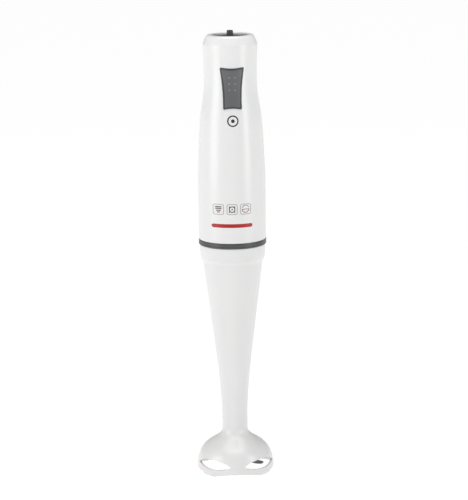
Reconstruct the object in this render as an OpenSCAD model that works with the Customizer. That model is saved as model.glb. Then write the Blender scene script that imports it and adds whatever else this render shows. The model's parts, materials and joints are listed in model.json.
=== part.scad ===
// Immersion blender: a motor handle on a blending leg that comes off with a quarter turn.
// Millimetres, +Z up. The origin is on the worktop at the centre of the bell guard, and the
// button faces -Y. Every height is worked out upwards from the worktop.

/* [Bell and blade] */
// Outer diameter of the bell guard
bell_d = 66; // [64:0.5:68]
// Height at which the bell's dome meets the leg's neck
neck_z = 36; // [35:0.2:37]
// Height of the arches between the bell's four feet
arch_h = 3; // [2:0.25:3.5]
// Angle between the middle of a side window and the button's side
window_angle = 43; // [42:0.5:45]
// Height of the four side windows at their middle
window_h = 8.3; // [7:0.1:9]
// Span of the blade from tip to tip
blade_span = 50; // [46:1:54]
// Direction in which one wing of the blade points at rest, from +X
blade_angle = -25; // [-26:1:-10]

/* [Leg] */
// Height of the leg's top face
leg_top = 198.5; // [190:0.5:208]
// Outer diameter of the leg's collar at its top face
collar_d = 56; // [55.6:0.1:56.4]
// Outer diameter of the leg above the bell
neck_d = 21.8; // [21.2:0.1:22.6]
// Diameter of the motor shaft and of the leg's drive shaft
shaft_d = 5; // [4.6:0.1:5.2]

/* [Handle] */
// Largest outer diameter of the handle
handle_d = 56.9; // [56.4:0.1:57.4]
// Outer diameter at the waist, behind the button
waist_d = 44.1; // [43.6:0.1:45]
// Height of the handle shells
shell_h = 172.1; // [171.5:0.1:176]
// Wall thickness of the handle shells
wall = 2.4; // [2.2:0.1:2.6]
// Height of the grey band between handle and leg
band_h = 4.5; // [4.2:0.1:5]

/* [Button] */
// Width of the button at its top edge
button_top_w = 19.6; // [18:0.1:20.4]
// Width of the button at its bottom edge
button_bottom_w = 14.7; // [13.6:0.1:15.4]
// Height of the button
button_h = 34.2; // [33.6:0.1:35]
// Gap round the button
button_gap = 0.45; // [0.35:0.05:0.6]

/* [Coupling thread] */
// Number of thread ridges
starts = 3; // [2, 3]
// Rise of the thread in one full turn
thread_lead = 60; // [58:1:64]

/* [Hidden] */
$fn = 72;
fit = 0.05;            // sliding clearance between neighbouring pieces
shaft_r = shaft_d / 2;
bush_r = shaft_r + 0.03;

white = "white";
dark = "dimgray";
mid_grey = "gray";
steel = "silver";
bronze = "goldenrod";
copper = "chocolate";

// Bell
bell_r = bell_d / 2;
bell_wall = 2;
boss_r = 8.8;
boss_z = 17;
window_z = 5.5;                    // lowest point of a window
window_half = bell_r * sin(31);    // half the window's width, tip to tip
window_rise = window_h * 0.66;     // how far the upper edge stands over the tips
window_dip = window_h - window_rise;
window_angles = [window_angle, 180 - window_angle, 180 + window_angle, -window_angle];
arch_half = bell_r * sin(38);

// Leg and its socket
neck_r = neck_d / 2;
collar_r = collar_d / 2;
leg_wall = 2;
socket_r = 25.2;
socket_bore_r = 23.2;
floor_z = leg_top - 13;            // top of the socket's floor under the dogs
ledge_z = leg_top - 9.6;           // top of the ledge under the spigot
leg_bush_z = leg_top - 23.4;

// Coupling thread and drive dogs
base_z = leg_top + 0.4;            // underside of the grey band
spigot_r = 21;
spigot_z = leg_top - 9;
ridge_h = 6.6;
ridge_w = 12;                      // degrees
ridge_gap = 1.2;                   // degrees between mating ridges
dogs = 3;
dog_w = 20;                        // degrees
dog_r = 8;
motor_dog_z = leg_top - 0.4;
driven_dog_z = leg_top - 12.2;

// Handle
shell_z = base_z + band_h;
handle_r = handle_d / 2;
waist_r = waist_d / 2;
shell_top = shell_z + shell_h;
cap_r = 15.3;
cap_z = shell_top - 1.8;           // top face of the recessed cap
cord_r = 2.1;                      // bore of the cord gland
band_r = handle_r + 0.2;           // the grey band stands a little proud
cap_lip_r = 13.6;
split_lip_r = 24.2;                // shells grip the base over this radius
split_lip_h = 2.5;

// Motor, counted up from the shells' lower edge
can_r = 21;
can_in_r = 19.2;
can_z = shell_z + 16.6;
can_h = 62;
magnet_r = 16.6;
core_r = 16;
core_z = can_z + 13.5;
core_h = 32;
comm_z = can_z + 53;
plate_z = can_z + can_h;
slots = 12;

// Button, its hinge and the push switch
button_z = shell_z + 112.4;        // bottom edge
button_top_z = button_z + button_h;
button_proud = 0.7;
hinge_z = button_z + 4;
hinge_y = -16.6;
hinge_pin_r = 1.25;
plunger_z = button_z + 21.5;
carrier_y = -14;
plunger_y = carrier_y - 1.5;       // front end of the plunger at rest
carrier_z0 = button_z - 7.5;
carrier_z1 = button_z + 41;
board_y = 5;
board_z = shell_z + 100.6;
board_h = 42;
shell_screws_xz = [for (x = [-9, 9]) [x, shell_z + 157.1], for (x = [-18.5, 18.5]) [x, shell_z + 93.1]];
carrier_screws_xz = [[-7, carrier_z0 + 3], [7, carrier_z0 + 3], [-7, carrier_z1 - 3], [7, carrier_z1 - 3]];
board_screws_xz = [[-9.5, board_z + 4], [9.5, board_z + 4], [-9.5, board_z + 38], [9.5, board_z + 38]];
vents_z = [shell_z + 9.5, shell_z + 113];

// ---------------------------------------------------------------- shared shapes

function bezier(p0, p1, p2, p3, n = 8) =
  [for (i = [0:n]) let (t = i / n, u = 1 - t)
    u*u*u * p0 + 3*u*u*t * p1 + 3*u*t*t * p2 + t*t*t * p3];

// Radius of the arc that has a half chord c and a rise s
function arc_radius(c, s) = (c*c + s*s) / (2*s);

// Points from p towards q along a shallow bow that leans by s to the left of the way from p to q
function bow(p, q, s, n = 8) =
  let (d = q - p, side = [-d[1], d[0]] / norm(d))
  [for (i = [0:n - 1]) let (t = i / n) p + d*t + side * s * 4 * t * (1 - t)];

module ring(r_out, r_in, z0, z1) {
  translate([0, 0, z0]) difference() {
    cylinder(r = r_out, h = z1 - z0);
    translate([0, 0, -1]) cylinder(r = r_in, h = z1 - z0 + 2);
  }
}

// A piece of a ring, centred on the angle mid and width degrees wide
module ring_piece(r_out, r_in, z0, z1, mid, width) {
  rotate([0, 0, mid - width/2]) translate([0, 0, z0])
    rotate_extrude(angle = width) translate([r_in, 0]) square([r_out - r_in, z1 - z0]);
}

// A right-hand thread ridge. At the height z0 it starts at the angle from
module thread_ridge(r_out, r_in, z0, h, from) {
  steps = 4;
  angles = [for (i = [0:steps]) from + i * ridge_w / steps];
  translate([0, 0, z0]) linear_extrude(height = h, twist = -360 * h / thread_lead, slices = 14, segments = 10)
    polygon(concat([for (a = angles) r_out * [cos(a), sin(a)]],
                   [for (i = [steps:-1:0]) r_in * [cos(angles[i]), sin(angles[i])]]));
}

// A rod along Y, from y0 to y1, at a place in X and Z
module rod_y(r, xz, y0, y1) {
  translate([xz[0], y0, xz[1]]) rotate([-90, 0, 0]) cylinder(r = r, h = y1 - y0);
}

// A screw along Y: its head is at y_head and its tip at y_tip
module screw_y(xz, y_head, y_tip, head_r, shank_r) {
  way = y_tip < y_head ? -1 : 1;
  difference() {
    union() {
      rod_y(shank_r, xz, min(y_head, y_tip), max(y_head, y_tip));
      rod_y(head_r, xz, min(y_head, y_head - way*1.8), max(y_head, y_head - way*1.8));
    }
    for (a = [0, 90]) translate([xz[0], y_head - way*1.6, xz[1]]) rotate([0, a, 0])
      cube([head_r*1.4, 1.4, 0.6], center = true);
  }
}

// A coil spring along Z from z = 0 to z = length
module coil(r, wire_r, length, turns, steps = 14, sides = 6) {
  n = turns * steps;
  rise = (length - 2*wire_r) / n;
  points = [for (i = [0:n], j = [0:sides - 1])
    let (a = i * 360 / steps, b = j * 360 / sides, q = r + wire_r * cos(b))
    [q * cos(a), q * sin(a), wire_r + rise*i + wire_r * sin(b)]];
  walls = [for (i = [0:n - 1], j = [0:sides - 1])
    let (k = (j + 1) % sides)
    [i*sides + j, i*sides + k, (i + 1)*sides + k, (i + 1)*sides + j]];
  ends = [[for (j = [sides - 1:-1:0]) j], [for (j = [0:sides - 1]) n*sides + j]];
  polyhedron(points, concat(walls, ends));
}

// ---------------------------------------------------------------- handle outline

// The handle's side from its lower edge to the rim, moved out by grow
function handle_side(grow) =
  let (r = handle_r + grow, w = waist_r + grow, pull = handle_r - waist_r, z = shell_z, top = shell_top)
  concat(
    [[r, z]],
    bezier([r, z + 40], [r, z + 66], [r - 0.24*pull, z + 84], [r - 0.342*pull, z + 98.8], 12),
    bezier([r - 0.342*pull, z + 98.8], [r - 0.43*pull, z + 108], [w, z + 123], [w, z + 134], 12),
    bezier([w, z + 144], [w, z + 150], [w + 0.4, z + 157], [w + 0.85, top - 8], 4),
    bezier([w + 0.75, top - 7.4], [w + 0.2, top - 6], [w - 0.9, top - 3.2], [w - 1.5, top - 2], 5),
    bezier([w - 1.7, top - 1.6], [w - 2.3, top - 0.6], [w - 3.2, top], [w - 4.4, top], 5));

module handle_face(grow) {
  polygon(concat([[0, shell_z]], handle_side(grow), [[0, shell_top]]));
}

module handle_solid(grow, from = 0, angle = 360) {
  rotate([0, 0, from]) rotate_extrude(angle = angle) handle_face(grow);
}

module shell_section() {
  difference() {
    handle_face(0);
    intersection() {
      handle_face(-wall);
      translate([0, shell_z + split_lip_h]) square([40, cap_z - 3.4 - shell_z - split_lip_h]);
    }
    translate([0, shell_z - 1]) square([split_lip_r, split_lip_h + 2]);
    translate([0, cap_z - 4]) square([cap_lip_r, 8]);
    polygon([[0, cap_z - 1.9], [cap_r, cap_z - 1.9], [cap_r, shell_top - 0.5], [cap_r + 0.5, shell_top + 0.1],
             [cap_r + 0.5, shell_top + 1], [0, shell_top + 1]]);
  }
}

// ---------------------------------------------------------------- button outline

// Four bowed sides between rounded corners
function button_outline(grow) =
  let (t = button_top_w/2 + grow, b = button_bottom_w/2 + grow,
       hi = button_top_z + grow, lo = button_z - grow,
       corners = [[-t, hi], [t, hi], [b, lo], [-b, lo]], bows = [-1, -0.95, -1.1, -0.95])
  [for (k = [0:3]) let (p = corners[k], q = corners[(k + 1) % 4], o = corners[(k + 3) % 4],
                        side = bow(p, q, bows[k], 16), last = bow(o, p, bows[(k + 3) % 4], 16))
    each concat(bezier(last[15], (last[15] + 2*p) / 3, (side[1] + 2*p) / 3, side[1], 5),
                           [for (i = [2:14]) side[i]])];

module button_prism(grow, y0, y1) {
  translate([0, y1, 0]) rotate([90, 0, 0]) linear_extrude(y1 - y0) polygon(button_outline(grow));
}

// ---------------------------------------------------------------- handle shells

module front_shell() {
  color(white) difference() {
    union() {
      rotate([0, 0, 180]) rotate_extrude(angle = 180) shell_section();
      intersection() {
        handle_solid(-1, 180, 180);
        union() {
          for (s = shell_screws_xz) rod_y(3.6, s, -40, -fit);
          for (s = carrier_screws_xz) rod_y(2.6, s, -40, carrier_y - fit);
        }
      }
    }
    button_prism(button_gap, -40, -8);
    for (s = shell_screws_xz) rod_y(1.3, s, -13, 1);
    for (s = carrier_screws_xz) rod_y(0.9, s, carrier_y - 4.6, carrier_y + 1);
  }
}

module rear_shell() {
  color(white) difference() {
    union() {
      rotate_extrude(angle = 180) shell_section();
      intersection() {
        handle_solid(-1, 0, 180);
        union() {
          for (s = shell_screws_xz) rod_y(4.2, s, fit, 40);
          for (s = board_screws_xz) rod_y(2.4, s, board_y + 1.6 + fit, 40);
        }
      }
    }
    for (s = shell_screws_xz) {
      rod_y(2.9, s, 2.4, 40);
      rod_y(1.6, s, -1, 3);
    }
    for (s = board_screws_xz) rod_y(0.9, s, board_y, board_y + 6);
    for (z = vents_z, i = [0:4]) translate([-8, 15, z + i*4]) cube([16, 20, 1.7]);
  }
}

module shell_screws() {
  color(steel) for (s = shell_screws_xz) screw_y(s, 2.45, -11, 2.6, 1.25);
}

module screw_plugs() {
  color(white) intersection() {
    difference() {
      handle_solid(-0.15, 0, 180);
      handle_solid(-1.6, 0, 180);
    }
    for (s = shell_screws_xz) rod_y(2.82, s, 5, 40);
  }
}

module top_cap() {
  color(dark) difference() {
    rotate_extrude() polygon([
      [3.65, cap_z - 5.2], [waist_r - wall - 1.2, cap_z - 5.2], [waist_r - wall - 1.2, cap_z - 3.5],
      [cap_lip_r - 0.1, cap_z - 3.5], [cap_lip_r - 0.1, cap_z - 1.8], [cap_r - 0.08, cap_z - 1.8],
      [cap_r - 0.08, cap_z - 0.4], [cap_r - 0.5, cap_z], [8, cap_z - 0.25], [3.65, cap_z - 0.25]]);
    for (a = [0, 180]) rotate([0, 0, a]) translate([11, 0, cap_z - 6]) cylinder(r = 1.5, h = 2);
  }
}

module cord_gland() {
  color(dark) rotate_extrude() polygon([
    [cord_r, cap_z - 9], [5.4, cap_z - 9], [5.4, cap_z - 5.3], [3.6, cap_z - 5.3], [3.6, cap_z - 0.2],
    [3.1, cap_z - 0.2], [2.75, cap_z + 1.4], [2.62, cap_z + 4.7], [2.45, cap_z + 5.2], [cord_r, cap_z + 5.2]]);
}

// Grey band, spigot with thread ridges, and the ring that the shells grip
module coupling_base() {
  color(mid_grey) union() {
    rotate_extrude() polygon([
      [9.6, shell_z - 2.4], [18.6, shell_z - 2.4], [18.6, spigot_z], [spigot_r, spigot_z],
      [spigot_r, base_z], [band_r - 0.6, base_z], [band_r - 0.1, base_z + 0.2],
      [band_r, base_z + 0.5], [band_r, base_z + 0.9], [band_r - 0.35, base_z + 1.15],
      [band_r - 0.1, base_z + 1.4], [band_r - 0.1, shell_z - 1.4], [band_r - 0.35, shell_z - 1.15],
      [band_r, shell_z - 0.9], [band_r, shell_z - 0.5], [band_r - 0.1, shell_z - 0.2],
      [band_r - 0.6, shell_z], [split_lip_r - 0.15, shell_z],
      [split_lip_r - 0.15, shell_z + split_lip_h + 0.1], [25.9, shell_z + split_lip_h + 0.1],
      [25.9, shell_z + 5], [21.4, shell_z + 5], [21.4, shell_z], [9.6, shell_z]]);
    for (i = [0:starts - 1])
      thread_ridge(socket_bore_r - 0.3, spigot_r - 0.5, spigot_z + 0.3, ridge_h, i * 360 / starts);
  }
}

// ---------------------------------------------------------------- motor

module lower_motor_mount() {
  color(mid_grey) difference() {
    union() {
      ring(25.8, 23.9, shell_z + 5.05, shell_z + 12);
      ring(25.8, 9.5, shell_z + 12, shell_z + 15);
      ring(25.8, 23.9, shell_z + 15, shell_z + 24);
      ring(24, can_r + fit, shell_z + 15, shell_z + 18);
    }
    for (i = [0:5]) rotate([0, 0, 60*i + 30]) translate([15.5, 0, shell_z + 11])
      cylinder(r = 3.4, h = 6);
    for (a = [0, 180]) rotate([0, 0, a]) translate([15.5, 0, shell_z + 11]) cylinder(r = 1.7, h = 6);
  }
}

module lower_damper() {
  color("dimgray") difference() {
    ring(can_r - 0.2, 9.5, shell_z + 15.05, can_z - fit);
    for (i = [0:5]) rotate([0, 0, 60*i + 30]) translate([15.5, 0, shell_z + 11])
      cylinder(r = 3.4, h = 8);
    for (a = [0, 180]) rotate([0, 0, a]) translate([15.5, 0, shell_z + 11]) cylinder(r = 1.7, h = 8);
  }
}

module motor_screws() {
  color(steel) for (a = [0, 180]) rotate([0, 0, a]) translate([15.5, 0, 0]) {
    translate([0, 0, shell_z + 10.2]) cylinder(r = 2.7, h = 1.75);
    translate([0, 0, shell_z + 11]) cylinder(r = 1.45, h = can_z + 1.9 - shell_z - 11);
  }
}

module motor_can() {
  color(steel) difference() {
    union() {
      ring(can_r, can_in_r, can_z, can_z + can_h);
      ring(can_r, 5.5, can_z, can_z + 2);
      ring(7.5, 5.5, can_z - 4, can_z + 2.2);
    }
    for (a = [0, 180]) rotate([0, 0, a]) translate([15.5, 0, can_z - 1]) cylinder(r = 1.5, h = 5);
    for (i = [0:3]) rotate([0, 0, 90*i + 45]) translate([13.5, 0, can_z - 1]) cylinder(r = 3, h = 5);
    for (i = [0:3]) rotate([0, 0, 90*i + 45]) translate([can_in_r - 3, -5, can_z + 52])
      cube([8, 10, 5]);
  }
}

module field_magnets() {
  color("dimgray") for (a = [0, 180])
    ring_piece(can_in_r - 0.1, magnet_r, can_z + 9, can_z + 50, a, 132);
}

module lower_motor_bush() {
  color(bronze) ring(5.45, bush_r, can_z - 4, can_z + 3);
}

module brush_plate() {
  color("dimgray") difference() {
    union() {
      ring(can_r, 5.5, plate_z + 0.05, plate_z + 3);
      ring(can_in_r - 0.1, can_in_r - 1.4, plate_z - 2.5, plate_z + 0.1);
      ring(8, 5.5, plate_z, plate_z + 8);
    }
    for (i = [0:3]) rotate([0, 0, 90*i + 45]) translate([13, 0, plate_z - 1]) cylinder(r = 2.6, h = 6);
  }
}

module brush_holders() {
  color(bronze) for (a = [0, 180]) rotate([0, 0, a]) {
    difference() {
      translate([7.4, -2.9, comm_z + 1.4]) cube([10, 5.8, 5.8]);
      translate([6.4, -2.3, comm_z + 2]) cube([10.4, 4.6, 4.6]);
    }
    translate([9, -2.9, comm_z + 7.1]) cube([6, 5.8, plate_z - comm_z - 7.1]);
  }
}

module carbon_brushes() {
  color("black") for (a = [0, 180]) rotate([0, 0, a])
    translate([6.35, -2.2, comm_z + 2.1]) cube([6.8, 4.4, 4.4]);
}

module brush_springs() {
  color(steel) for (a = [0, 180]) rotate([0, 0, a])
    translate([13.2, 0, comm_z + 4.3]) rotate([0, 90, 0]) coil(1.5, 0.25, 3.5, 4, 12, 6);
}

module upper_motor_bush() {
  color(bronze) ring(5.45, bush_r, plate_z + 1.2, plate_z + 8);
}

module upper_damper() {
  color("dimgray") ring(22.8, can_r + fit, plate_z - 5, plate_z + 3);
}

module upper_motor_mount() {
  color(mid_grey) difference() {
    union() {
      ring(24.4, 22.85, plate_z - 6, plate_z + 5);
      ring(24.4, 12, plate_z + 3.1, plate_z + 5);
    }
    for (i = [0:3]) rotate([0, 0, 90*i + 45]) translate([18, 0, plate_z + 2]) cylinder(r = 3.5, h = 4);
  }
}

module motor_shaft() {
  color(steel) translate([0, 0, motor_dog_z + 1.2])
    cylinder(r = shaft_r, h = plate_z + 9 - motor_dog_z - 1.2);
}

module armature_core() {
  color(steel) difference() {
    ring(core_r, shaft_r + 0.01, core_z, core_z + core_h);
    for (i = [0:slots - 1]) rotate([0, 0, i * 360 / slots]) {
      translate([11.6, 0, core_z - 1]) cylinder(r = 2.2, h = core_h + 2);
      translate([12, -0.8, core_z - 1]) cube([6, 1.6, core_h + 2]);
    }
  }
}

module armature_windings() {
  color(copper) {
    for (z = [core_z - 6.2, core_z + core_h + 0.2]) translate([0, 0, z])
      rotate_extrude() translate([8.2, 0]) polygon([[0, 1], [1, 0], [5, 0], [6.3, 1.4],
        [6.3, 4.2], [4.6, 6], [1, 6], [0, 5]]);
    for (i = [0:slots - 1]) rotate([0, 0, i * 360 / slots])
      translate([11.6, 0, core_z - 1]) cylinder(r = 2, h = core_h + 2);
  }
}

module commutator() {
  color(copper) difference() {
    union() {
      ring(6.2, shaft_r + 0.01, comm_z, comm_z + 8);
      ring(7.2, shaft_r + 0.01, comm_z - 1.4, comm_z + 0.8);
    }
    for (i = [0:slots - 1]) rotate([0, 0, (i + 0.5) * 360 / slots])
      translate([5.2, -0.25, comm_z - 2]) cube([3, 0.5, 12]);
  }
}

module rotor_washers() {
  color(steel) {
    ring(4.4, shaft_r + 0.02, can_z + 3.1, can_z + 3.8);
    ring(4.4, shaft_r + 0.02, plate_z + 0.3, plate_z + 1.1);
  }
}

module cooling_fan() {
  color("black") {
    ring(5, shaft_r + 0.01, shell_z + 1.8, shell_z + 10);
    ring(17, 4.5, shell_z + 1.8, shell_z + 3);
    for (i = [0:8]) rotate([0, 0, 40*i]) translate([4.6, -0.6, shell_z + 2.5]) rotate([0, 0, 14])
      cube([12, 1.2, 7]);
  }
}

// ---------------------------------------------------------------- drive dogs

module motor_dog() {
  color("black") {
    ring(dog_r + 0.3, 0.6, motor_dog_z, motor_dog_z + 1.1);
    ring(dog_r + 0.3, shaft_r + 0.01, motor_dog_z + 1, motor_dog_z + 2.5);
    ring(5.6, shaft_r + 0.01, motor_dog_z + 2.4, motor_dog_z + 6);
    for (i = [0:dogs - 1])
      ring_piece(dog_r, 3.6, motor_dog_z - 6.5, motor_dog_z + 0.1, i * 360 / dogs, dog_w);
  }
}

module driven_dog() {
  color("white") {
    ring(dog_r + 0.3, shaft_r + 0.01, driven_dog_z, driven_dog_z + 2.5);
    for (i = [0:dogs - 1])
      ring_piece(dog_r, 3.6, driven_dog_z + 2.4, driven_dog_z + 9.6, (i + 0.5) * 360 / dogs, dog_w);
  }
}

// ---------------------------------------------------------------- electrics

module circuit_board() {
  color("darkgreen") difference() {
    translate([-12.5, board_y, board_z]) cube([25, 1.6, board_h]);
    for (s = board_screws_xz) rod_y(1.15, s, board_y - 1, board_y + 3);
  }
}

module board_screws() {
  color(steel) for (s = board_screws_xz) screw_y(s, board_y - 0.02, board_y + 5.4, 1.9, 0.85);
}

module bridge_rectifier() {
  color("black") {
    translate([-7.5, board_y - 4.6, board_z + 8]) cube([15, 3.6, 11]);
    for (i = [0:3]) translate([-5.7 + 3.8*i - 0.35, board_y - 1.1, board_z + 9]) cube([0.7, 1.05, 2]);
  }
}

module suppression_capacitor() {
  color("gold") {
    translate([-8.5, board_y + 2.2, board_z + 22]) cube([17, 7.5, 10.5]);
    for (x = [-6, 6]) rod_y(0.4, [x, board_z + 24], board_y + 1.65, board_y + 2.3);
  }
}

module choke_coil() {
  color(copper) {
    translate([0, board_y + 1.65, board_z + 13]) rotate([-90, 0, 0]) {
      difference() {
        cylinder(r = 6, h = 0.8);
        translate([0, 0, -1]) cylinder(r = 2, h = 3);
      }
      for (i = [0:11]) rotate([0, 0, 30*i]) translate([2.9, -1, 0.7]) cube([2.9, 2, 5]);
      translate([0, 0, 1.1]) difference() {
        cylinder(r = 5.2, h = 4.2);
        translate([0, 0, -1]) cylinder(r = 3.4, h = 7);
      }
    }
  }
}

module switch_carrier() {
  color(mid_grey) difference() {
    union() {
      translate([-10.4, carrier_y, carrier_z0]) cube([20.8, 2, carrier_z1 - carrier_z0]);
      for (x = [-8.6, 7]) translate([x, hinge_y, hinge_z]) {
        rotate([0, 90, 0]) cylinder(r = 2.6, h = 1.6);
        translate([0, 0, -2.6]) cube([1.6, carrier_y - hinge_y + 0.5, 5.2]);
      }
      for (x = [-5.4, 3.6]) translate([x, carrier_y, plunger_z - 10.6])
        cube([1.8, 9, 21.2]);
    }
    translate([-3.55, carrier_y - 1, plunger_z - 10.05]) cube([7.1, 12, 20.1]);
    translate([-10, hinge_y, hinge_z]) rotate([0, 90, 0]) cylinder(r = hinge_pin_r, h = 20);
    for (s = carrier_screws_xz) rod_y(1.15, s, carrier_y - 1, carrier_y + 3);
  }
}

module carrier_screws() {
  color(steel) for (s = carrier_screws_xz) screw_y(s, carrier_y + 2.02, carrier_y - 4, 1.9, 0.85);
}

module push_switch() {
  color("black") difference() {
    translate([-3.5, carrier_y + 1, plunger_z - 10]) cube([7, 10.5, 20]);
    rod_y(1.66, [0, plunger_z], carrier_y, carrier_y + 6);
  }
}

module switch_terminals() {
  color(bronze) for (z = [-7, 0, 6]) translate([-1.6, carrier_y + 11.5, plunger_z + z - 0.4])
    cube([3.2, 3.6, 0.8]);
}

module button_hinge_pin() {
  color(steel) translate([-8.6, hinge_y, hinge_z]) rotate([0, 90, 0])
    cylinder(r = hinge_pin_r - 0.02, h = 17.2);
}

module switch_button() {
  color("dimgray") difference() {
    union() {
      intersection() {
        difference() {
          handle_solid(button_proud, 225, 90);
          handle_solid(button_proud - 2.7, 225, 90);
        }
        button_prism(0, -30, -15);
      }
      for (x = [-6.4, 4.4]) {
        translate([x, hinge_y, hinge_z]) rotate([0, 90, 0]) cylinder(r = 2.5, h = 2);
        translate([x, -21.8, hinge_z - 2]) cube([2, 21.8 + hinge_y, 4]);
      }
      translate([-2, -21.2, plunger_z - 2]) cube([4, 21.2 + plunger_y - 1.5, 4]);
      rod_y(0.7, [0, plunger_z], plunger_y - 2, plunger_y - fit);
    }
    translate([-10, hinge_y, hinge_z]) rotate([0, 90, 0]) cylinder(r = hinge_pin_r + 0.04, h = 20);
  }
}

module grip_dots() {
  color("gray") for (x = [-2.4, 2.4], i = [0:2]) difference() {
    intersection() {
      handle_solid(button_proud + 0.3, 247, 46);
      rod_y(0.77, [x, button_z + 15.9 + 5.07*i], -30, -15);
    }
    handle_solid(button_proud + 0.001, 238, 64);
  }
}

module switch_plunger() {
  color("white") {
    rod_y(1.6, [0, plunger_z], plunger_y + 0.8, carrier_y + 3.4);
    rod_y(2.6, [0, plunger_z], plunger_y, plunger_y + 0.95);
  }
}

module plunger_spring() {
  color(steel) translate([0, carrier_y + 3.5, plunger_z]) rotate([-90, 0, 0])
    coil(1.2, 0.2, 2.4, 3, 12, 6);
}

// ---------------------------------------------------------------- leg

module sealing_ring() {
  color("dimgray") ring(socket_r - 0.1, socket_bore_r + 0.7, leg_top - 0.9, leg_top + 0.35);
}

function leg_side(grow) =
  let (n = neck_r + grow, c = collar_r + grow, z = leg_top)
  concat(
    [[n, neck_z]],
    bezier([n, 49], [n, 62], [n + 2.15, 85.5], [n + 4.5, 104.5]),
    [[c - 3.25, z - 19]],
    bezier([c - 2.85, z - 15.6], [c - 2.3, z - 13.3], [c - 1.1, z - 12.5], [c - 0.85, z - 10.6], 5),
    [[c - 0.15, z - 0.4], [c - 0.5, z]]);

module leg_tube() {
  color(white) difference() {
    rotate_extrude() polygon(concat([[0, neck_z]], leg_side(0), [[0, leg_top]]));
    rotate_extrude() intersection() {
      polygon(concat([[0, neck_z - 1], [neck_r - leg_wall, neck_z - 1]], leg_side(-leg_wall),
                     [[0, leg_top]]));
      translate([0, neck_z - 1]) square([socket_r + fit, leg_top - neck_z + 2]);
    }
    translate([0, 0, ledge_z - 1.9]) cylinder(r = socket_r + fit, h = 20);
  }
}

// Cup in the leg's top: bore with thread ridges, groove for the sealing ring, and bearing seat
module leg_socket() {
  color(white) union() {
    rotate_extrude() polygon([
      [5.2, leg_bush_z - 1], [8.4, leg_bush_z - 1], [8.4, floor_z - 2], [15, floor_z - 2],
      [17.4, ledge_z - 2], [socket_r - 2, ledge_z - 2], [socket_r - 0.2, ledge_z - 1.2],
      [socket_r - 0.2, leg_top - 1], [socket_bore_r + 0.6, leg_top - 1],
      [socket_bore_r + 0.6, leg_top - 0.1], [socket_bore_r, leg_top - 0.1],
      [socket_bore_r, ledge_z], [18, ledge_z], [15.6, floor_z], [5.2, floor_z]]);
    for (i = [0:starts - 1])
      thread_ridge(socket_bore_r + 0.3, spigot_r + 0.3, spigot_z + 0.3, ridge_h + 1.6,
                   i * 360 / starts - ridge_w - ridge_gap);
    for (i = [0:5]) rotate([0, 0, 60*i]) translate([8, -0.9, floor_z - 9]) cube([7, 1.8, 7.5]);
  }
}

module upper_leg_bush() {
  color(bronze) ring(5.15, bush_r, leg_bush_z, floor_z - 0.1);
}

// The dome from the shoulder under the neck down to the rim, moved out by grow
function bell_dome(grow) =
  let (r = bell_r + grow, p = [neck_r + 6.2 + grow*0.52, neck_z - 8.1 + grow*0.85])
  bezier(p, p + [8.3, -5.1], [r, 18.6 + grow*0.5], [r, 0.6], 16);

module bell_section() {
  difference() {
    polygon(concat(
      [[0, neck_z]],
      bezier([neck_r, neck_z], [neck_r, neck_z - 3.7], [neck_r + 3.7, neck_z - 6.6],
             [neck_r + 6.2, neck_z - 8.1]),
      bell_dome(0),
      [[bell_r - 0.15, 0.2], [bell_r - 0.5, 0], [0, 0]]));
    polygon(concat(
      [[0, bell_dome(-bell_wall)[0][1]]],
      bell_dome(-bell_wall),
      [[bell_r - bell_wall + 0.4, -1], [0, -1]]));
  }
}

// A window's outline seen square on: half an ellipse over a shallow arc
module bell_window() {
  tip_z = window_z + window_dip;
  rotate([90, 0, 90]) linear_extrude(60) polygon(concat(
    [for (i = [0:24]) let (t = 180 * i / 24) [window_half * cos(t), tip_z + window_rise * sin(t)]],
    [for (i = [1:15]) let (x = window_half * (i/8 - 1))
      [x, window_z + window_dip * pow(x / window_half, 2)]]));
}

module bell_guard() {
  arch_r = arc_radius(arch_half, arch_h);
  color(white) difference() {
    union() {
      difference() {
        rotate_extrude() bell_section();
        for (a = window_angles) rotate([0, 0, a - 90]) bell_window();
        for (i = [0:3]) rotate([0, 0, 90*i]) translate([0, 0, arch_h - arch_r]) rotate([0, 90, 0])
          cylinder(r = arch_r, h = 60, $fn = 120);
      }
      translate([0, 0, boss_z]) cylinder(r = boss_r, h = 50 - boss_z);
    }
    translate([0, 0, boss_z - 1]) cylinder(r = 6.2, h = 14);
    translate([0, 0, boss_z]) cylinder(r = 5.2, h = 50);
  }
}

module lower_leg_bush() {
  color(bronze) ring(5.15, bush_r, 30.1, 49.5);
}

module shaft_seal() {
  color("black") rotate_extrude() polygon([
    [shaft_r + 0.06, 23.4], [6.1, 22.6], [6.1, 29.9], [3.8, 29.9], [3.2, 26.4], [shaft_r + 0.06, 25]]);
}

module seal_retainer() {
  color(steel) rotate_extrude() polygon([
    [3.2, 17.4], [6.1, 17.4], [6.1, 22.5], [5.1, 22.2], [5.1, 18.6], [3.2, 18.6]]);
}

// ---------------------------------------------------------------- drive shaft and blade

module drive_shaft() {
  color(steel) translate([0, 0, 6.2]) cylinder(r = shaft_r, h = driven_dog_z + 2.4 - 6.2);
}

module shaft_washers() {
  color(steel) {
    ring(4.6, shaft_r + 0.02, floor_z, floor_z + 0.7);
    ring(5, shaft_r + 0.02, 15.4, 16.2);
  }
}

module retaining_ring() {
  color(steel) ring_piece(4.2, shaft_r + 0.01, leg_bush_z - 2.2, leg_bush_z - 1.4, 0, 300);
}

module blade_hub() {
  color("gainsboro") rotate_extrude() polygon([
    [shaft_r + 0.01, 8.05], [6.2, 8.05], [6.2, 10.4], [5.2, 12.6], [4.9, 15.3], [shaft_r + 0.01, 15.3]]);
}

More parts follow.
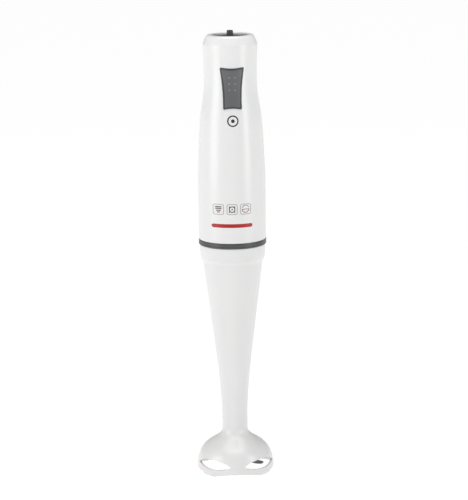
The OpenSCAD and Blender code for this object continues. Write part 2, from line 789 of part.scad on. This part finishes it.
// One wing points along +X: a flat root and a tip that is bent and has a ground edge
module blade_wing(bend) {
  bend_x = 13;
  reach = (blade_span/2 - bend_x) / cos(bend);
  difference() {
    union() {
      linear_extrude(1.4) polygon([[0, -6], [6, -4.8], [bend_x, -3.4], [bend_x, 3.4], [6, 4.8], [0, 6]]);
      translate([bend_x, 0, 0]) rotate([0, -bend, 0]) linear_extrude(1.4)
        polygon([[-0.2, -3.4], [reach - 4, -3], [reach - 0.8, -1], [reach, 2], [reach - 1, 2.8],
                 [-0.2, 3.4]]);
    }
    translate([bend_x - 2, -3.5, 1.4]) rotate([0, -bend, 0]) rotate([28, 0, 0])
      translate([0, -3, 0]) cube([reach + 6, 4, 3]);
  }
}

module blade() {
  color(steel) rotate([0, 0, blade_angle]) translate([0, 0, 6.6]) difference() {
    union() {
      blade_wing(-6);
      rotate([0, 0, 180]) blade_wing(9);
    }
    translate([0, 0, -1]) cylinder(r = shaft_r + 0.01, h = 4);
  }
}

module blade_rivet() {
  color(steel) rotate_extrude() polygon([[0, 5.5], [3.4, 5.5], [4.4, 6.1], [4.4, 6.55],
    [shaft_r + 0.02, 6.55], [shaft_r + 0.02, 6.18], [0, 6.18]]);
}

// ---------------------------------------------------------------- what is drawn

front_shell();
rear_shell();
shell_screws();
screw_plugs();
top_cap();
cord_gland();
coupling_base();
lower_motor_mount();
lower_damper();
motor_screws();
motor_can();
field_magnets();
lower_motor_bush();
brush_plate();
brush_holders();
carbon_brushes();
brush_springs();
upper_motor_bush();
upper_damper();
upper_motor_mount();
circuit_board();
bridge_rectifier();
suppression_capacitor();
choke_coil();
board_screws();
switch_carrier();
carrier_screws();
push_switch();
switch_terminals();
button_hinge_pin();
motor_shaft();
armature_core();
armature_windings();
commutator();
rotor_washers();
cooling_fan();
motor_dog();
switch_button();
grip_dots();
switch_plunger();
plunger_spring();
sealing_ring();
leg_tube();
leg_socket();
upper_leg_bush();
bell_guard();
lower_leg_bush();
shaft_seal();
seal_retainer();
drive_shaft();
driven_dog();
shaft_washers();
retaining_ring();
blade_hub();
blade();
blade_rivet();
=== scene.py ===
import json
import math

import bmesh
import bpy
from mathutils import Matrix, Vector
from mathutils.bvhtree import BVHTree


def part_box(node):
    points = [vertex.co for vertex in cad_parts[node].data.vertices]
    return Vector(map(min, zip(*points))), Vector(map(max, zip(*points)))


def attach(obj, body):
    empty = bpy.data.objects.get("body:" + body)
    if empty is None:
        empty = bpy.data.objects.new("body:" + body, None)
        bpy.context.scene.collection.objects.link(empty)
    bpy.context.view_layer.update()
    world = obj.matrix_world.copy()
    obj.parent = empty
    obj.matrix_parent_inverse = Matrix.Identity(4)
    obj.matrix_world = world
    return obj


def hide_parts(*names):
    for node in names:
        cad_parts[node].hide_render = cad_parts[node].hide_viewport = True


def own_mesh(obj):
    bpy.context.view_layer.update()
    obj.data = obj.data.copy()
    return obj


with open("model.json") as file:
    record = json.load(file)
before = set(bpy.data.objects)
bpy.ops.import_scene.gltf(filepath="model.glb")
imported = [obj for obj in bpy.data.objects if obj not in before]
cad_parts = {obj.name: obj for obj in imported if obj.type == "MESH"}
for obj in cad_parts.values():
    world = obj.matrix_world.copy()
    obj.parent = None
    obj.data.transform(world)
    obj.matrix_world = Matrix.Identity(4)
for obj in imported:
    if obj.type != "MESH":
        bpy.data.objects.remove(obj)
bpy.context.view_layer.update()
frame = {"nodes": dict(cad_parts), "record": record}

MM = 0.001

# ---------------------------------------------------------------- camera

CAM_AZIMUTH = math.radians(-3.5)
CAM_DISTANCE = 1.714
CAM_HEIGHT = 0.5503
CAM_PITCH = math.radians(11.8)
CAM_ROLL = math.radians(-0.76)
CAM_SIDE = 0.0011
CAM_LENS = 148.4
CAM_SENSOR = 36.0

camera = bpy.data.objects.new("camera", bpy.data.cameras.new("camera"))
bpy.context.scene.collection.objects.link(camera)
camera.data.lens = CAM_LENS
camera.data.sensor_width = CAM_SENSOR
camera.data.clip_start, camera.data.clip_end = 0.05, 50.0
camera.rotation_mode = "QUATERNION"
turn = Matrix.Rotation(CAM_AZIMUTH, 3, "Z")
camera.location = turn @ Vector((CAM_SIDE, -CAM_DISTANCE, CAM_HEIGHT))
camera.rotation_quaternion = (
    turn @ Matrix.Rotation(math.pi / 2 - CAM_PITCH, 3, "X") @ Matrix.Rotation(CAM_ROLL, 3, "Z")
).to_quaternion()
bpy.context.scene.camera = camera

# ---------------------------------------------------------------- shader helpers


class Shader:
    """A material with a Principled surface, and short calls that add nodes to it."""

    def __init__(self, name, colour, rough, **sockets):
        self.mat = bpy.data.materials.new(name)
        self.mat.use_nodes = True
        self.tree = self.mat.node_tree
        self.bsdf = self.tree.nodes["Principled BSDF"]
        self.set(self.bsdf, **{"Base Color": (*colour, 1.0), "Roughness": rough, **sockets})
        self.colour, self.rough = colour, rough
        self.coords = self.node("ShaderNodeTexCoord").outputs["Object"]
        self.height = None

    def node(self, kind, **settings):
        made = self.tree.nodes.new(kind)
        for key, value in settings.items():
            setattr(made, key, value)
        return made

    def set(self, node, **values):
        """Sets a node's inputs, by name."""
        for key, value in values.items():
            node.inputs[key].default_value = value

    def link(self, source, target):
        self.tree.links.new(source, target)

    def noise(self, scale, detail=3.0, stretch=(1, 1, 1)):
        """Soft noise round 0.5, with scale counted per metre and stretched by axis."""
        mapping = self.node("ShaderNodeMapping")
        mapping.inputs["Scale"].default_value = stretch
        self.link(self.coords, mapping.inputs["Vector"])
        made = self.node("ShaderNodeTexNoise")
        self.set(made, Scale=scale, Detail=detail, Roughness=0.5)
        self.link(mapping.outputs["Vector"], made.inputs["Vector"])
        return made.outputs["Fac"]

    def scale_range(self, source, low, high, to_low, to_high):
        """The source's low to high becomes to_low to to_high, held at both ends."""
        made = self.node("ShaderNodeMapRange")
        for i, value in enumerate((low, high, to_low, to_high)):
            made.inputs[i + 1].default_value = value
        self.link(source, made.inputs[0])
        return made.outputs[0]

    def maths(self, operation, a, b):
        made = self.node("ShaderNodeMath", operation=operation)
        for i, value in enumerate((a, b)):
            if isinstance(value, (int, float)):
                made.inputs[i].default_value = value
            else:
                self.link(value, made.inputs[i])
        return made.outputs[0]

    def vary_rough(self, scale, amount, **options):
        """Roughness drifts by amount either side of the material's own."""
        spread = self.scale_range(self.noise(scale, **options), 0.3, 0.7,
                                  self.rough - amount, self.rough + amount)
        self.link(spread, self.bsdf.inputs["Roughness"])

    def vary_colour(self, factor, other):
        """The colour goes to other where factor is 1."""
        mix = self.node("ShaderNodeMix", data_type="RGBA")
        mix.inputs["A"].default_value = (*self.colour, 1.0)
        mix.inputs["B"].default_value = (*other, 1.0)
        self.link(factor, mix.inputs["Factor"])
        self.link(mix.outputs["Result"], self.bsdf.inputs["Base Color"])

    def bump(self, source, strength, distance):
        """Lays one more height on top of the earlier ones."""
        made = self.node("ShaderNodeBump")
        self.set(made, Strength=strength, Distance=distance)
        self.link(source, made.inputs["Height"])
        if self.height is not None:
            self.link(self.height, made.inputs["Normal"])
        self.height = made.outputs["Normal"]
        self.link(self.height, self.bsdf.inputs["Normal"])

    def round_edges(self, radius):
        """Edges shade as if they had this radius. The first call of a material, before any bump."""
        self.rounded = self.node("ShaderNodeBevel", samples=4)
        self.set(self.rounded, Radius=radius)
        self.height = self.rounded.outputs["Normal"]
        self.link(self.height, self.bsdf.inputs["Normal"])

    def edges(self):
        """1 on an edge or in a crease, 0 on the faces."""
        dot = self.node("ShaderNodeVectorMath", operation="DOT_PRODUCT")
        self.link(self.rounded.outputs["Normal"], dot.inputs[0])
        self.link(self.node("ShaderNodeNewGeometry").outputs["Normal"], dot.inputs[1])
        return self.scale_range(dot.outputs["Value"], 0.985, 0.82, 0.0, 1.0)

    def shade_in_gaps(self, reach):
        """1 deep in a gap or slot, 0 in the open, found by ambient occlusion: where shade falls,
        the mask for painted shade.
        """
        shade = self.node("ShaderNodeAmbientOcclusion", samples=6)
        self.set(shade, Distance=reach)
        return self.scale_range(shade.outputs["AO"], 0.85, 0.4, 0.0, 1.0)

    def wear_and_shade(self, where, other, rough_shift, patch=260.0):
        """There, the surface goes patchily towards another colour and another gloss."""
        mask = self.maths("MULTIPLY", where, self.scale_range(
            self.noise(patch, detail=5.0), 0.35, 0.6, 0.2, 1.0))
        mix = self.node("ShaderNodeMix", data_type="RGBA")
        mix.inputs["B"].default_value = (*other, 1.0)
        self.link(mask, mix.inputs["Factor"])
        self.link(self.bsdf.inputs["Base Color"].links[0].from_socket, mix.inputs["A"])
        self.link(mix.outputs["Result"], self.bsdf.inputs["Base Color"])
        gloss = self.bsdf.inputs["Roughness"].links[0].from_socket
        self.link(self.maths("ADD", gloss, self.maths("MULTIPLY", mask, rough_shift)),
                  self.bsdf.inputs["Roughness"])


def tint(colour, factor):
    return tuple(min(1.0, c * factor) for c in colour)


def moulded(name, colour, rough, grain=900.0, grain_depth=0.05, drift=0.04, wave=0.05, edge=1.5,
            **sockets):
    """Injection-moulded plastic: fine grain, slow waviness, and slight drift in gloss and tone.

    With edge above 1 its edges are rubbed lighter, and below 1 its gaps and crevices are darkened
    by that factor as painted shade, and made rougher."""
    s = Shader(name, colour, rough, **sockets)
    if edge > 1:
        s.round_edges(0.0003)
    s.vary_rough(45.0, drift, detail=1.5)
    s.vary_colour(s.scale_range(s.noise(18.0, detail=1.5), 0.2, 0.8, 0.0, 1.0), tint(colour, 0.975))
    if wave:
        s.bump(s.noise(38.0, detail=1.0), wave, 0.0004)
    s.bump(s.noise(grain * 4, detail=2.0), grain_depth, 0.00005)
    if edge > 1:
        s.wear_and_shade(s.edges(), tint(colour, edge), -0.06)
    else:
        # Gaps and crevices go darker: painted shade from ambient occlusion, with rougher gloss.
        s.wear_and_shade(s.shade_in_gaps(0.0012), tint(colour, edge), 0.2)
    return s


def metal(name, colour, rough, stretch=(1, 1, 1), scale=1400.0, depth=0.12, drift=0.08):
    """Machined or drawn metal: fine lines along one way and smudged gloss."""
    s = Shader(name, colour, rough, Metallic=1.0)
    s.round_edges(0.0002)
    lines = s.noise(scale, detail=4.0, stretch=stretch)
    smudge = s.noise(90.0, detail=4.0)
    both = s.maths("ADD", s.maths("MULTIPLY", lines, 0.5), s.maths("MULTIPLY", smudge, 0.5))
    gloss = s.scale_range(both, 0.35, 0.65, rough - drift, rough + drift)
    s.link(gloss, s.bsdf.inputs["Roughness"])
    s.vary_colour(s.scale_range(lines, 0.3, 0.7, 0.0, 1.0), tint(colour, 0.86))
    s.bump(lines, depth, 0.00004)
    s.wear_and_shade(s.edges(), tint(colour, 1.25), -0.05)
    return s


def rubber(name, colour, rough):
    s = Shader(name, colour, rough)
    s.round_edges(0.0002)
    s.vary_rough(300.0, 0.08, detail=4.0)
    mottle = s.scale_range(s.noise(700.0, detail=5.0), 0.35, 0.7, 0.0, 1.0)
    s.vary_colour(mottle, tint(colour, 1.35))
    s.bump(s.noise(2400.0, detail=3.0), 0.25, 0.00006)
    s.wear_and_shade(s.edges(), tint(colour, 1.8), 0.08)
    return s


SLOT_COLOUR = {m["slot"]: tuple(m["base_color"][:3]) for m in frame["record"]["materials"]}


def colour_of(slot):
    return SLOT_COLOUR[slot]


# ---------------------------------------------------------------- materials, one per slot

MATERIALS = {}


def add(slot, shader):
    MATERIALS[slot] = shader.mat


# The white shells' gaps and crevices are darkened to 0.72 of their colour: painted shade.
add("white_plastic", moulded("gloss_white", colour_of("white_plastic"), 0.292, drift=0.014,
                             wave=0.03, edge=0.72,
                             **{"Subsurface Weight": 0.06, "Subsurface Scale": 0.002}))
# The nylon's gaps and crevices are darkened to 0.8 of its colour: painted shade.
add("white_nylon", moulded("white_nylon", colour_of("white_nylon"), 0.45, grain_depth=0.12,
                           edge=0.8))
add("grey_plastic", moulded("band_grey", colour_of("grey_plastic"), 0.36, grain_depth=0.1))
add("switch_grey", moulded("switch_grey", colour_of("switch_grey"), 0.42, grain=1100.0,
                           grain_depth=0.22, wave=0.0))
add("switch_dots", moulded("dot_grey", colour_of("switch_dots"), 0.38, wave=0.0))
add("dark_cap", moulded("cap_grey", tint(colour_of("dark_cap"), 0.8), 0.48, grain=700.0,
                        grain_depth=0.35, **{"Specular IOR Level": 0.25}))
add("gland_rubber", rubber("gland_rubber", colour_of("gland_rubber"), 0.52))
add("inner_grey", moulded("filled_nylon", colour_of("inner_grey"), 0.55, grain_depth=0.25))
add("black_plastic", moulded("black_nylon", colour_of("black_plastic"), 0.42, grain_depth=0.2))
add("black_rubber", rubber("black_rubber", colour_of("black_rubber"), 0.6))
add("plated_steel", metal("plated_steel", colour_of("plated_steel"), 0.32))
add("bright_steel", metal("ground_steel", colour_of("bright_steel"), 0.2, stretch=(1, 1, 12)))
# The blade's colour is darkened to 0.45 of its slot colour: painted shade, for a blade that sits in
# shade inside the bell.
add("blade_steel", metal("blade_steel", tint(colour_of("blade_steel"), 0.45), 0.3,
                         stretch=(1, 9, 1)))
add("hub_alloy", metal("turned_alloy", colour_of("hub_alloy"), 0.3, stretch=(0.4, 0.4, 9)))
add("bronze", metal("sintered_bronze", colour_of("bronze"), 0.45, scale=2600.0, depth=0.3))
add("copper", metal("enamelled_copper", colour_of("copper"), 0.3, stretch=(1, 1, 0.15),
                    scale=2200.0, depth=0.5))
add("core_steel", metal("stacked_steel", colour_of("core_steel"), 0.42, stretch=(0.02, 0.02, 1),
                        scale=2000.0, depth=0.5))
add("magnet", moulded("ferrite", colour_of("magnet"), 0.6, grain_depth=0.5))
add("carbon", moulded("graphite", colour_of("carbon"), 0.5, grain_depth=0.4))
add("board_green", moulded("board_lacquer", colour_of("board_green"), 0.3))
add("capacitor_yellow", moulded("capacitor_case", colour_of("capacitor_yellow"), 0.32))

for part in frame["record"]["subparts"]:
    mesh = frame["nodes"][part["node"]].data
    mesh.materials.clear()
    mesh.materials.append(MATERIALS[part["material_slot"]])
    mesh.polygons.foreach_set("material_index", [0] * len(mesh.polygons))

# The button's border round its pad is half as bright as the pad: painted shade for the gap round
# the pad. Its edges are rubbed lighter.
shaded_rim = moulded("button_rim_painted_shade", tint(colour_of("switch_grey"), 0.5), 0.5, grain=1100.0, grain_depth=0.2,
              wave=0.0, edge=2.2)
frame["nodes"]["switch_button"].data.materials[0] = shaded_rim.mat

# ---------------------------------------------------------------- smooth shading of the CAD pieces


SMOOTH_LIMIT = math.radians(38.0)
JOIN_WITHIN = 2e-6


def smoothing_group():
    """Joins the CAD faces' shared edges and shades them smooth where they meet at a small angle."""
    group = bpy.data.node_groups.new("smooth_cad", "GeometryNodeTree")
    group.interface.new_socket("Geometry", in_out="INPUT", socket_type="NodeSocketGeometry")
    group.interface.new_socket("Geometry", in_out="OUTPUT", socket_type="NodeSocketGeometry")
    new, link = group.nodes.new, group.links.new
    start, end = new("NodeGroupInput"), new("NodeGroupOutput")
    merge = new("GeometryNodeMergeByDistance")
    merge.inputs["Distance"].default_value = JOIN_WITHIN
    faces = new("GeometryNodeSetShadeSmooth")
    edges = new("GeometryNodeSetShadeSmooth")
    edges.domain = "EDGE"
    edges.inputs["Shade Smooth"].default_value = False
    angle = new("GeometryNodeInputMeshEdgeAngle")
    sharp = new("FunctionNodeCompare")
    sharp.data_type, sharp.operation = "FLOAT", "GREATER_THAN"
    sharp.inputs["B"].default_value = SMOOTH_LIMIT
    link(start.outputs[0], merge.inputs["Geometry"])
    link(merge.outputs[0], faces.inputs["Geometry"])
    link(faces.outputs[0], edges.inputs["Geometry"])
    link(angle.outputs["Unsigned Angle"], sharp.inputs["A"])
    link(sharp.outputs["Result"], edges.inputs["Selection"])
    link(edges.outputs[0], end.inputs[0])
    return group


SMOOTH = smoothing_group()


def smooth(obj):
    if "custom_normal" in obj.data.attributes:
        obj.data.attributes.remove(obj.data.attributes["custom_normal"])
    modifier = obj.modifiers.new("smooth", "NODES")
    modifier.node_group = SMOOTH


for node in frame["nodes"].values():
    smooth(node)

# ---------------------------------------------------------------- building pieces


def piece(name, verts, faces, material, body, smooth_faces=True):
    mesh = bpy.data.meshes.new(name)
    mesh.from_pydata([tuple(v) for v in verts], [], faces)
    mesh.materials.append(material)
    for polygon in mesh.polygons:
        polygon.use_smooth = smooth_faces
    mesh.validate()
    obj = bpy.data.objects.new(name, mesh)
    bpy.context.scene.collection.objects.link(obj)
    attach(obj, body)
    return obj


def face_outwards(mesh, join_within=0.0):
    """Turns a closed mesh's faces outwards, once any points that close have been joined."""
    made = bmesh.new()
    made.from_mesh(mesh)
    if join_within:
        bmesh.ops.remove_doubles(made, verts=made.verts, dist=join_within)
    bmesh.ops.recalc_face_normals(made, faces=made.faces)
    made.to_mesh(mesh)
    made.free()


def tree_of(node):
    made = bmesh.new()
    made.from_mesh(frame["nodes"][node].data)
    found = BVHTree.FromBMesh(made)
    made.free()
    return found


SHELL = tree_of("front_shell")
BUTTON = tree_of("switch_button")
AHEAD = -0.2  # a place along Y in front of the whole blender


def on_front(tree, x, z, lift):
    """The point on a surface's front at that place across and up, lifted off the surface."""
    hit, normal, _, _ = tree.ray_cast(Vector((x, AHEAD, z)), Vector((0, 1, 0)))
    radial = Vector((hit.x, hit.y, 0)).normalized()
    return hit + radial * lift


# ---------------------------------------------------------------- raised pad on the button

BUTTON_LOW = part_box("switch_button")[0].z
BUTTON_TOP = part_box("switch_button")[1].z
CORNER_OUT = 0.15 * MM  # how far the bowed ends' corners reach past the button's box
HALF_TOP, HALF_LOW = 9.8 * MM, 7.35 * MM  # half the button's width at its ends
SIDE_BOWS = (1.0 * MM, 0.95 * MM, 1.1 * MM, 0.95 * MM)  # top, right, bottom, left
CORNER_STEPS = 5
PAD_RIM = ((1.15, -0.1), (1.15, 0.08), (1.22, 0.15), (1.4, 0.19))  # inset and lift, in mm
PAD_INSET, PAD_LIFT = 1.7, 0.2
PAD_SHRINK = (1.0, 0.85, 0.7, 0.55, 0.4, 0.25, 0.12)


def bowed(p, q, lean, n=16):
    """Points from p to q along a bow that leans to the right of its way."""
    way = q - p
    right = Vector((way.y, -way.x)).normalized()
    return [p + way * (i / n) + right * (lean * 4 * (i / n) * (1 - i / n)) for i in range(n + 1)]


def pad_outline(inset):
    """The button's outline drawn in by inset, with bowed sides and rounded corners."""
    top, low = BUTTON_TOP + CORNER_OUT - inset, BUTTON_LOW - CORNER_OUT + inset
    wide, narrow = HALF_TOP - inset, HALF_LOW - inset
    corners = [Vector(c) for c in ((-wide, top), (wide, top), (narrow, low), (-narrow, low))]
    sides = [bowed(corners[k], corners[(k + 1) % 4], lean) for k, lean in enumerate(SIDE_BOWS)]
    points = []
    for k, side in enumerate(sides):
        before = sides[k - 1]
        start, corner, stop = before[-2], corners[k], side[1]
        for i in range(CORNER_STEPS + 1):
            t = i / CORNER_STEPS
            points.append(start * (1 - t) ** 2 + corner * (2 * t * (1 - t)) + stop * t ** 2)
        points += side[2:-2]
    return points


def button_pad():
    """A thin pad with a rounded edge that stands out of the button's face."""
    centre = Vector((0, (BUTTON_TOP + BUTTON_LOW) / 2))
    loops = [(pad_outline(inset * MM), lift) for inset, lift in PAD_RIM]
    inner = pad_outline(PAD_INSET * MM)
    loops += [([centre + (p - centre) * k for p in inner], PAD_LIFT) for k in PAD_SHRINK]
    verts = [on_front(BUTTON, x, z, lift * MM) for points, lift in loops for x, z in points]
    n = len(inner)
    faces = [(a * n + i, a * n + (i + 1) % n, (a + 1) * n + (i + 1) % n, (a + 1) * n + i)
             for a in range(len(loops) - 1) for i in range(n)]
    faces.append(tuple(range((len(loops) - 1) * n, len(loops) * n)))
    faces.append(tuple(range(n))[::-1])
    obj = piece("button_pad", verts, faces, MATERIALS["switch_grey"], "button")
    face_outwards(obj.data)


button_pad()

# ---------------------------------------------------------------- plunger's return spring

# The spring shortens as the button goes in; a copy of its mesh, with its own data, stands for its
# CAD node, which is hidden
spring = bpy.data.objects.new("return_spring", frame["nodes"]["plunger_spring"].data.copy())
bpy.context.scene.collection.objects.link(spring)
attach(spring, "handle")
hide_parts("plunger_spring")
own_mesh(spring)

# ---------------------------------------------------------------- printed marks

INK_LIFT = 0.02 * MM
INK_DEPTH = 0.06 * MM
INK_JOIN = 1e-7


def ink(name, strips, material):
    """Each strip is two matching rows of (x, z) points, filled between and laid on the shell."""
    verts, faces = [], []
    for one, two in strips:
        base, n = len(verts), len(one)
        for lift in (INK_LIFT, INK_LIFT - INK_DEPTH):
            verts += [on_front(SHELL, x, z, lift) for row in (one, two) for x, z in row]
        top, low = base, base + 2 * n
        for i in range(n - 1):
            faces.append((top + i, top + i + 1, top + n + i + 1, top + n + i))
            faces.append((low + i, low + n + i, low + n + i + 1, low + i + 1))
            faces.append((top + i, low + i, low + i + 1, top + i + 1))
            faces.append((top + n + i, top + n + i + 1, low + n + i + 1, low + n + i))
        for i in (0, n - 1):
            faces.append((top + i, top + n + i, low + n + i, low + i))
    obj = piece(name, verts, faces, material, "handle", smooth_faces=False)
    face_outwards(obj.data, INK_JOIN)


def arc(cx, cz, r, start, stop, n):
    """Points along an arc from start to stop degrees, in n steps."""
    angles = [math.radians(start + (stop - start) * i / n) for i in range(n + 1)]
    return [(cx + r * math.cos(a), cz + r * math.sin(a)) for a in angles]


def rounded(cx, cz, half, radius, n=6):
    """A closed rounded square, anticlockwise, with points along its sides as well."""
    inner = half - radius
    corners = [arc(cx + sx * inner, cz + sz * inner, radius, 90 * k, 90 * k + 90, n)
               for k, (sx, sz) in enumerate(((1, 1), (-1, 1), (-1, -1), (1, -1)))]
    points = []
    for k, corner in enumerate(corners):
        (x0, z0), (x1, z1) = corner[-1], corners[(k + 1) % 4][0]
        points += corner + [(x0 + (x1 - x0) * i / n, z0 + (z1 - z0) * i / n) for i in range(1, n)]
    return points + [points[0]]


def disc(cx, cz, r, n=24):
    """A filled disc as two facing half rows."""
    return arc(cx, cz, r, 180, 0, n), arc(cx, cz, r, 180, 360, n)


def ring(cx, cz, r_out, r_in, start=0, stop=360, n=40):
    """A ring, or a part of one."""
    return arc(cx, cz, r_out, start, stop, n), arc(cx, cz, r_in, start, stop, n)


def bar(x0, x1, z, thick, n=8):
    """A level bar with round ends."""
    r = thick / 2
    flat = [x0 + r + (x1 - x0 - thick) * i / n for i in range(n + 1)]
    left_end, right_end = arc(x0 + r, z, r, 180, 90, 8), arc(x1 - r, z, r, 90, 0, 8)
    top = left_end + [(x, z + r) for x in flat[1:-1]] + right_end
    low = [(x, 2 * z - h) for x, h in top]
    return top, low


def print_ink(name, colour, rough=0.35):
    """Printed ink with a faint mottle."""
    s = Shader(name, colour, rough)
    s.vary_rough(400.0, 0.06)
    s.vary_colour(s.scale_range(s.noise(900.0, detail=3.0), 0.3, 0.7, 0.0, 1.0), tint(colour, 1.15))
    return s.mat


BAND_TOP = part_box("front_shell")[0].z
ICON_Z = BAND_TOP + 29.1 * MM
ICON_HALF = 4.5 * MM
ICON_CORNER = 1.7 * MM
ICON_LINE = 0.5 * MM
ICON_X = [(i * 11.3 - 1.73) * MM for i in (-1, 0, 1)]
STROKE = 0.85 * MM
STROKES = ((2.7, 2.2), (2.7, 0.8), (2.1, -0.8), (1.3, -2.2))  # half length and height, in mm
TEETH_AT = (45, 135, 225, 315)
RED_BAR = (-18.7 * MM, 15.3 * MM, BAND_TOP + 15.1 * MM, 3.2 * MM)  # left, right, height, thickness
RING_Z = BUTTON_LOW - 9.8 * MM

grey_ink = print_ink("ink_grey", (0.26, 0.265, 0.26))
dark_ink = print_ink("ink_dark", (0.025, 0.023, 0.025))
red_ink = print_ink("ink_red", (0.36, 0.003, 0.004), 0.42)
rose_ink = print_ink("ink_rose", (0.2, 0.02, 0.03))

left, middle, right = ICON_X
strokes = [bar(left - w * MM, left + w * MM, ICON_Z + up * MM, STROKE) for w, up in STROKES]
teeth = [ring(middle, ICON_Z, 3.5 * MM, 2.7 * MM, a - 9, a + 9, 4) for a in TEETH_AT]

ink("icon_frames", [(rounded(x, ICON_Z, ICON_HALF, ICON_CORNER),
                     rounded(x, ICON_Z, ICON_HALF - ICON_LINE, ICON_CORNER - ICON_LINE))
                    for x in ICON_X], grey_ink)
ink("icon_bars", strokes[:2], dark_ink)
ink("icon_bars_low", strokes[2:], rose_ink)
ink("icon_wheel", [ring(middle, ICON_Z, 2.7 * MM, 1.95 * MM), disc(middle, ICON_Z, 0.62 * MM)]
    + teeth, dark_ink)
ink("icon_bowl", [ring(right, ICON_Z + 0.1 * MM, 3.2 * MM, 2.6 * MM, 188, 352, 24),
                  ring(right, ICON_Z + 0.3 * MM, 3.2 * MM, 2.7 * MM, 18, 162, 24),
                  bar(right - 3.2 * MM, right + 3.2 * MM, ICON_Z - 0.1 * MM, ICON_LINE)], rose_ink)
ink("red_bar", [bar(*RED_BAR, n=30)], red_ink)
ink("ring_mark", [ring(0, RING_Z, 4.75 * MM, 3.65 * MM), disc(0, RING_Z, 1.5 * MM)], dark_ink)

# ---------------------------------------------------------------- floor and light


FLOOR_HALF = 30
FLOOR_GLOW = 0.97
WORLD_GLOW = 0.12


def soft_light(name, place, target, width, height, power):
    """A white area light at place, turned towards target."""
    data = bpy.data.lights.new(name, "AREA")
    data.shape, data.size, data.size_y = "RECTANGLE", width, height
    data.energy = power
    obj = bpy.data.objects.new(name, data)
    bpy.context.scene.collection.objects.link(obj)
    obj.location = place
    obj.rotation_mode = "QUATERNION"
    obj.rotation_quaternion = (Vector(place) - Vector(target)).to_track_quat("Z", "Y")


# Two tall soft boxes stand beside the camera, and a large one hangs overhead
soft_light("left_box", (-1.25, -0.55, 0.45), (0, 0, 0.22), 0.75, 1.1, 11.4)
soft_light("right_box", (1.0, -0.75, 0.45), (0, 0, 0.22), 0.42, 1.1, 7.3)
soft_light("top_box", (0, -0.1, 1.7), (0, 0, 0.1), 1.2, 1.2, 17.5)

floor_mesh = bpy.data.meshes.new("floor")
floor_mesh.from_pydata([(x * FLOOR_HALF, y * FLOOR_HALF, 0)
                        for x, y in ((-1, -1), (1, -1), (1, 1), (-1, 1))], [], [(0, 1, 2, 3)])
floor = bpy.data.objects.new("floor", floor_mesh)
bpy.context.scene.collection.objects.link(floor)
floor_shader = Shader("floor", (0.1, 0.1, 0.1), 0.9, **{
    "Emission Color": (1, 1, 1, 1), "Emission Strength": FLOOR_GLOW, "Specular IOR Level": 0.0})
floor_shader.vary_rough(3.0, 0.03)
floor_mesh.materials.append(floor_shader.mat)

world = bpy.data.worlds.new("world")
world.use_nodes = True
world.node_tree.nodes["Background"].inputs["Color"].default_value = (1, 1, 1, 1)
world.node_tree.nodes["Background"].inputs["Strength"].default_value = WORLD_GLOW
bpy.context.scene.world = world
bpy.context.scene.view_settings.view_transform = "Standard"
